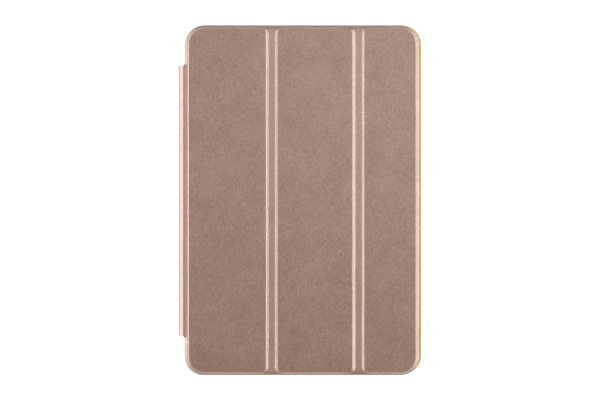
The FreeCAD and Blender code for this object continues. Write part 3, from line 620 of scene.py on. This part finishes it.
class Shader:
    """A material under construction: its nodes are added by short calls that return their outputs."""

    def __init__(self, name, colour, roughness, metallic=0.0, **sockets):
        self.material = bpy.data.materials.new(name)
        self.material.use_nodes = True
        self.nodes = self.material.node_tree.nodes
        self.links = self.material.node_tree.links
        self.surface = self.nodes["Principled BSDF"]
        self.surface.inputs["Base Color"].default_value = (*colour, 1)
        self.surface.inputs["Roughness"].default_value = roughness
        self.surface.inputs["Metallic"].default_value = metallic
        for socket, value in sockets.items():
            self.surface.inputs[socket.replace("_", " ")].default_value = value
        self.place = self.nodes.new("ShaderNodeTexCoord").outputs["Object"]

    def add(self, kind, inputs=None, **settings):
        node = self.nodes.new(kind)
        for key, value in settings.items():
            setattr(node, key, value)
        for socket, value in (inputs or {}).items():
            if isinstance(value, bpy.types.NodeSocket):
                self.links.new(value, node.inputs[socket])
            else:
                node.inputs[socket].default_value = value
        return node

    def stretched(self, scale):
        return self.add("ShaderNodeMapping", {"Vector": self.place, "Scale": scale}).outputs[0]

    def noise(self, scale, detail=4.0, roughness=0.55, distortion=0.0, place=None):
        sockets = {"Vector": place or self.place, "Scale": scale, "Detail": detail}
        sockets |= {"Roughness": roughness, "Distortion": distortion}
        return self.add("ShaderNodeTexNoise", sockets).outputs["Fac"]

    def cells(self, scale, feature, place, randomness=1.0):
        sockets = {"Vector": place, "Scale": scale, "Randomness": randomness}
        return self.add("ShaderNodeTexVoronoi", sockets, feature=feature).outputs["Distance"]

    def math(self, operation, a, b):
        return self.add("ShaderNodeMath", {0: a, 1: b}, operation=operation).outputs[0]

    def ramp(self, factor, low, high, low_at=0.3, high_at=0.7):
        node = self.add("ShaderNodeValToRGB", {"Fac": factor})
        stops = node.color_ramp.elements
        stops[0].position, stops[0].color = low_at, (*low, 1)
        stops[1].position, stops[1].color = high_at, (*high, 1)
        return node.outputs["Color"]

    def remap(self, factor, low, high):
        sockets = {"Value": factor, "To Min": low, "To Max": high}
        return self.add("ShaderNodeMapRange", sockets).outputs["Result"]

    def mix(self, factor, a, b, blend="MIX"):
        node = self.add("ShaderNodeMix", data_type="RGBA", blend_type=blend)
        for socket, value in ((0, factor), (6, a), (7, b)):
            if isinstance(value, bpy.types.NodeSocket):
                self.links.new(value, node.inputs[socket])
            else:
                node.inputs[socket].default_value = value if socket == 0 else (*value, 1)
        return node.outputs[2]

    def bump(self, height, strength, depth, below=None):
        sockets = {"Height": height, "Strength": strength, "Distance": depth}
        if below:
            sockets["Normal"] = below
        return self.add("ShaderNodeBump", sockets).outputs["Normal"]

    def finish(self, colour=None, roughness=None, normal=None):
        for socket, value in (("Base Color", colour), ("Roughness", roughness), ("Normal", normal)):
            if value:
                self.links.new(value, self.surface.inputs[socket])
        return self.material


def tint(colour, share):
    """A colour made lighter or darker."""
    return tuple(min(1.0, c * share) for c in colour)


def leather():
    """Pearl-coated leather: small pebbles parted by creases, with painted shade in the partings and the
    creases, a faint streaked grain, rubbing at the edges, and painted light in the fold grooves.
    """
    s = Shader("pearl_leather", ROSE, 0.36, 0.64, Coat_Weight=1.0, Coat_Roughness=0.27, Coat_IOR=2.4)
    push = {0: (0.0007, 0.0006, 0.0003), "Scale": s.noise(420, 3, 0.6)}
    push = s.add("ShaderNodeVectorMath", push, operation="SCALE").outputs[0]
    warped = s.add("ShaderNodeVectorMath", {0: s.place, 1: push}, operation="ADD").outputs[0]
    parting = {"Value": s.cells(1250, "DISTANCE_TO_EDGE", warped), "From Max": 0.32}
    pebble = s.add("ShaderNodeMapRange", parting, interpolation_type="SMOOTHSTEP").outputs[0]
    crease = s.noise(330, 6, 0.65, 0.8, warped)
    fine = s.noise(2600, 3, 0.6)
    streak = s.noise(1300, 2, 0.6, 0.0, s.stretched((1, 0.4, 1)))
    colour = s.ramp(s.noise(70, 5, 0.6, 0.4), tint(ROSE, 0.93), tint(ROSE, 1.08))
    # Painted shade: the partings between the pebbles are darkened and the pebbles' tops lightened, following
    # the bump.
    shade = s.ramp(pebble, (0.72, 0.70, 0.68), (1.05, 1.05, 1.05), 0.0, 0.9)
    colour = s.mix(1.0, colour, shade, "MULTIPLY")
    shade = s.ramp(streak, (0.88, 0.88, 0.88), (1.10, 1.10, 1.10))
    colour = s.mix(1.0, colour, shade, "MULTIPLY")
    # Painted shade: the hollows of the grain's creases are darkened, following the bump.
    crease_shade = s.ramp(crease, (0.18, 0.18, 0.18), (0, 0, 0), 0.3, 0.5)
    colour = s.mix(crease_shade, colour, tint(ROSE, 0.72))
    # The attribute read here lightens the colour: real rubbing at the edges and the crests, and painted
    # light on the floors of the fold grooves and the front hinge's groove.
    wear_and_painted_light = s.add("ShaderNodeAttribute", attribute_name="wear_and_painted_light").outputs["Fac"]
    rubbed_and_lit = s.math("MULTIPLY", wear_and_painted_light, s.remap(crease, 0.3, 0.6))
    colour = s.mix(rubbed_and_lit, colour, tint(ROSE, 1.30))
    rough = s.remap(s.noise(140, 4, 0.6), 0.32, 0.42)
    normal = s.bump(pebble, 0.45, 0.00006)
    normal = s.bump(crease, 0.28, 0.00012, normal)
    normal = s.bump(fine, 0.15, 0.00002, normal)
    return s.finish(colour, rough, normal)


def microfibre():
    """Soft lining: a short nap with faint brushed patches."""
    base = (0.50, 0.36, 0.29)
    s = Shader("microfibre_lining", base, 0.92, Sheen_Weight=0.5, Sheen_Roughness=0.4)
    nap = s.noise(3200, 4, 0.7)
    brushed = s.noise(90, 3, 0.6, 0.6, s.stretched((1, 0.25, 1)))
    tone = s.ramp(brushed, tint(base, 0.86), tint(base, 1.1))
    colour = s.mix(s.remap(nap, 0.0, 0.5), tone, tint(base, 0.7))
    normal = s.bump(nap, 0.5, 0.00006, s.bump(brushed, 0.15, 0.0002))
    return s.finish(colour, None, normal)


def board():
    """Pressed fibre board with flecks."""
    base = (0.25, 0.19, 0.13)
    s = Shader("fibre_board", base, 0.85)
    flecks = s.noise(900, 5, 0.7, 0.3, s.stretched((1, 0.2, 1)))
    return s.finish(s.ramp(flecks, tint(base, 0.7), tint(base, 1.3)), None, s.bump(flecks, 0.3, 0.0001))


def gold_plastic():
    """Satin gold paint over moulded plastic, with a faint orange-peel and small rubs."""
    s = Shader("satin_gold_plastic", GOLD, 0.42, 0.25, Specular_IOR_Level=0.35)
    peel = s.noise(700, 3, 0.5)
    rubs = s.noise(120, 6, 0.7, 0.5)
    colour = s.mix(s.remap(rubs, 0.0, 0.25), GOLD, tint(GOLD, 0.85))
    return s.finish(colour, s.remap(rubs, 0.36, 0.5), s.bump(peel, 0.12, 0.00005))


def blasted_aluminium(name, colour):
    """Anodised aluminium with a fine bead-blasted grain."""
    s = Shader(name, colour, 0.36, 1.0)
    grain = s.noise(5200, 2, 0.5)
    cloud = s.noise(45, 3, 0.5)
    tone = s.ramp(cloud, tint(colour, 0.95), tint(colour, 1.03))
    return s.finish(tone, s.remap(grain, 0.32, 0.42), s.bump(grain, 0.12, 0.00002))


def sheet_steel():
    """Rolled steel with brushed lines."""
    s = Shader("rolled_steel", (0.58, 0.58, 0.57), 0.3, 1.0)
    brushed = s.noise(600, 4, 0.6, 0.0, s.stretched((1, 0.03, 1)))
    tone = s.ramp(brushed, (0.50, 0.50, 0.49), (0.66, 0.66, 0.65))
    return s.finish(tone, s.remap(brushed, 0.22, 0.4), s.bump(brushed, 0.1, 0.00003))


def nickel():
    """Nickel plate with faint smears."""
    s = Shader("nickel_plate", (0.62, 0.60, 0.57), 0.18, 1.0)
    smear = s.noise(180, 4, 0.6)
    return s.finish(s.ramp(smear, (0.55, 0.53, 0.50), (0.68, 0.66, 0.63)), s.remap(smear, 0.12, 0.3))


def moulded(name, colour, roughness):
    """Moulded plastic or film with a light texture."""
    s = Shader(name, colour, roughness)
    grain = s.noise(1400, 4, 0.6)
    tone = s.ramp(grain, tint(colour, 0.88), tint(colour, 1.12))
    return s.finish(tone, s.remap(grain, roughness * 0.85, roughness * 1.15), s.bump(grain, 0.2, 0.00004))


def circuit_board():
    """Green solder mask over faint copper tracks."""
    base = (0.012, 0.07, 0.035)
    s = Shader("circuit_board", base, 0.35, Coat_Weight=0.3)
    sockets = {"Vector": s.place, "Scale": 260.0, "Mortar Size": 0.03, "Color1": (0, 0, 0, 1)}
    sockets |= {"Color2": (0.3, 0.3, 0.3, 1), "Mortar": (1, 1, 1, 1)}
    tracks = s.add("ShaderNodeTexBrick", sockets).outputs["Color"]
    return s.finish(s.mix(tracks, base, (0.03, 0.16, 0.06)), None, s.bump(tracks, 0.2, 0.00003))


def white_enamel(name, roughness):
    """White paint under a thin clear coat."""
    base = (0.80, 0.80, 0.79)
    s = Shader(name, base, roughness, Coat_Weight=0.5, Coat_Roughness=0.05)
    cloud = s.noise(60, 2, 0.5)
    return s.finish(s.ramp(cloud, tint(base, 0.985), tint(base, 1.015)), None, s.bump(cloud, 0.03, 0.00005))


def dark_display():
    """A switched-off display: almost black, with its grid of picture elements just visible."""
    base = (0.010, 0.011, 0.014)
    s = Shader("dark_display", base, 0.22, Specular_IOR_Level=0.6, Coat_Weight=0.6, Coat_Roughness=0.03)
    grid = s.cells(12000, "F1", s.place, 0.0)
    return s.finish(s.ramp(grid, tint(base, 1.6), tint(base, 0.5), 0.2, 0.6))


def clear_glass():
    """Glass as a clear sheet that mirrors at its surface, so that light reaches what lies under it."""
    s = Shader("clear_glass", (1, 1, 1), 0.02)
    s.nodes.remove(s.surface)
    smear = s.noise(35, 4, 0.6)
    gloss = s.add("ShaderNodeBsdfGlossy", {"Roughness": s.remap(smear, 0.01, 0.05)})
    clear = s.add("ShaderNodeBsdfTransparent")
    facing = s.add("ShaderNodeLayerWeight", {"Blend": 0.5}).outputs["Facing"]
    mirrored = s.remap(s.math("POWER", facing, 5.0), GLASS_MIRROR, 1.0)
    blend = s.add("ShaderNodeMixShader", {0: mirrored, 1: clear.outputs[0], 2: gloss.outputs[0]})
    output = s.nodes["Material Output"]
    s.links.new(blend.outputs[0], output.inputs["Surface"])
    return s.material


def make_materials():
    return {
        "case_leather": leather(),
        "case_lining": microfibre(),
        "case_board": board(),
        "case_tray": gold_plastic(),
        "housing": blasted_aluminium("blasted_aluminium", PALE_GOLD),
        "glass": clear_glass(),
        "mask": white_enamel("printed_white_frame", 0.3),
        "display": dark_display(),
        "sheet_steel": sheet_steel(),
        "battery_wrap": moulded("battery_wrap", (0.015, 0.015, 0.017), 0.45),
        "circuit_board": circuit_board(),
        "chip": moulded("moulded_chip", (0.012, 0.012, 0.012), 0.5),
        "flat_cable": moulded("amber_film", (0.32, 0.13, 0.025), 0.3),
        "socket_plastic": moulded("socket_plastic", (0.014, 0.014, 0.014), 0.42),
        "magnet": nickel(),
        "gasket": moulded("soft_rubber", (0.015, 0.015, 0.015), 0.7),
        "key_metal": blasted_aluminium("polished_key_metal", tint(PALE_GOLD, 1.04)),
        "key_front": white_enamel("white_key", 0.2),
    }


def finish_cad_nodes(materials):
    """Gives every CAD solid that stays in view the material of its slot."""
    for part in frame["record"]["subparts"]:
        node = frame["nodes"][part["node"]]
        for slot in node.material_slots:
            slot.material = materials[part["material_slot"]]


# Assembly


def dress(piece, material):
    """Gives a new piece its material."""
    piece.data.materials.clear()
    piece.data.materials.append(material)
    return piece


def assemble_cover(materials):
    skins, linings = make_cover_leather(), make_cover_lining()
    for n in (1, 2, 3):
        skin = dress(skins[f"panel_{n}"], materials["case_leather"])
        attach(skin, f"panel_{n}")
        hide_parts(f"panel_{n}_leather")
        lining = dress(linings[f"panel_{n}"], materials["case_lining"])
        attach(lining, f"panel_{n}")
        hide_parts(f"panel_{n}_lining")
    for n in (1, 2):
        for layer, slot in ((skins, "case_leather"), (linings, "case_lining")):
            piece = dress(layer[f"fold_{n}"], materials[slot])
            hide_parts(f"fold_{n}_strip")
            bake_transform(piece)


def assemble_spine(materials):
    strips = make_spine_strips()
    for name, piece in strips.items():
        slot = "case_lining" if "lining" in name else "case_leather"
        dress(piece, materials[slot])
        if name.startswith("front"):
            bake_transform(piece)
            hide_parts("front_hinge_strip")
        elif name.startswith("rear"):
            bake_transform(piece)
            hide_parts("rear_hinge_strip")
        else:
            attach(piece, "spine")
            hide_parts(name)


def glass_over(name, node, inner_z, gap):
    """The glass of a CAD node, with its inner face drawn back so that it doesn't touch what is under it."""
    mesh = frame["nodes"][node].data.copy()
    for vertex in mesh.vertices:
        if abs(vertex.co.z - inner_z) < SAME_FACE:
            vertex.co.z += gap
    return link(bpy.data.objects.new(name, mesh))


def assemble_glass(materials):
    front_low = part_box("cover_glass")[0]
    lens_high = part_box("camera_lens")[1]
    front = glass_over("front_glass", "cover_glass", front_low.z, GLASS_GAP)
    lens = glass_over("lens_glass", "camera_lens", lens_high.z, -GLASS_GAP)
    for piece, node in ((front, "cover_glass"), (lens, "camera_lens")):
        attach(dress(piece, materials["glass"]), "tablet")
        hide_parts(node)


def assemble_back(materials):
    corner = COVER_CORNER - SHEET_CORNER_INSET
    back = holed_sheet("back_leather", "case_back_leather", corner, BACK_ROUND)
    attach(dress(back, materials["case_leather"]), "tablet")
    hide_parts("case_back_leather")
    lining = holed_sheet("tray_lining", "case_tray_lining", corner, TRAY_LINING_ROUND)
    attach(dress(lining, materials["case_lining"]), "tablet")
    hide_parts("case_tray_lining")


# Picture: floor, light and camera


def make_floor():
    """A dim matt floor that glows, so that it is white and the object casts only a faint shadow on it."""
    mesh = bpy.data.meshes.new("floor")
    corners = [(x * FLOOR_HALF, y * FLOOR_HALF, 0) for x, y in ((-1, -1), (1, -1), (1, 1), (-1, 1))]
    mesh.from_pydata(corners, [], [(0, 1, 2, 3)])
    floor = link(bpy.data.objects.new("floor", mesh))
    floor.location.z = cad_bounds[0].z - FLOOR_DROP
    s = Shader("white_floor", FLOOR_TONES[1], 0.8, Specular_IOR_Level=0.1)
    s.surface.inputs["Emission Color"].default_value = (1, 1, 1, 1)
    s.surface.inputs["Emission Strength"].default_value = FLOOR_GLOW
    mesh.materials.append(s.finish(s.ramp(s.noise(3, 2, 0.5), *FLOOR_TONES)))


def make_world():
    """A dim grey studio, darkest overhead, where the camera stands, and past the top edge. To the camera
    itself it is plain white."""
    world = bpy.data.worlds.new("studio")
    bpy.context.scene.world = world
    world.use_nodes = True
    nodes, links = world.node_tree.nodes, world.node_tree.links

    def faded(source, ranges):
        node = nodes.new("ShaderNodeMapRange")
        for socket, value in ranges.items():
            node.inputs[socket].default_value = value
        links.new(source, node.inputs["Value"])
        return node.outputs["Result"]

    def combined(operation, a, b):
        node = nodes.new("ShaderNodeMath")
        node.operation = operation
        links.new(a, node.inputs[0])
        links.new(b, node.inputs[1])
        return node.outputs[0]

    direction = nodes.new("ShaderNodeTexCoord").outputs["Generated"]
    nearness = nodes.new("ShaderNodeVectorMath")
    nearness.operation = "DOT_PRODUCT"
    nearness.inputs[1].default_value = DARK_SPOT
    links.new(direction, nearness.inputs[0])
    parts = nodes.new("ShaderNodeSeparateXYZ")
    links.new(direction, parts.inputs[0])
    spot = faded(nearness.outputs["Value"], SPOT_RANGE)
    far_side = faded(parts.outputs["Y"], FAR_SIDE_RANGE)
    studio = combined("MULTIPLY", spot, far_side)
    seen = nodes.new("ShaderNodeLightPath").outputs["Is Camera Ray"]
    links.new(combined("MAXIMUM", studio, seen), nodes["Background"].inputs["Color"])


def softbox(name, place, size, power, glossy=True):
    """An area light aimed at the object. One that isn't glossy makes no highlight."""
    light = bpy.data.lights.new(name, "AREA")
    light.shape = "RECTANGLE"
    light.size, light.size_y = size
    light.energy = power
    lamp = link(bpy.data.objects.new(name, light))
    lamp.location = place
    lamp.rotation_euler = (-Vector(place)).to_track_quat("-Z", "Y").to_euler()
    lamp.visible_camera = False
    lamp.visible_glossy = glossy


def make_lights():
    x, y, z = SIDE_BOX_AT
    softbox("left_softbox", (-x, y, z), SIDE_BOX_SIZE, LEFT_POWER)
    softbox("right_softbox", (x, y, z), SIDE_BOX_SIZE, RIGHT_POWER)
    softbox("fill_softbox", FILL_AT, FILL_SIZE, FILL_POWER, glossy=False)


def make_camera():
    """Looks straight down on the middle of the case from a distance, with the top edge up."""
    low, high = cad_bounds
    camera = bpy.data.cameras.new("camera")
    distance = CAMERA_HEIGHT - high.z
    picture_height = (high.y - low.y) / FILL
    camera.sensor_width = SENSOR * 1000
    camera.lens = 1000 * SENSOR * distance / (picture_height * PICTURE_ASPECT)
    eye = link(bpy.data.objects.new("camera", camera))
    eye.location = ((low.x + high.x) / 2, (low.y + high.y) / 2, CAMERA_HEIGHT)
    bpy.context.scene.camera = eye


make_camera()
make_floor()
make_world()
make_lights()
bpy.context.scene.view_settings.view_transform = "Standard"

slot_materials = make_materials()
finish_cad_nodes(slot_materials)
assemble_cover(slot_materials)
assemble_spine(slot_materials)
assemble_back(slot_materials)
assemble_glass(slot_materials)
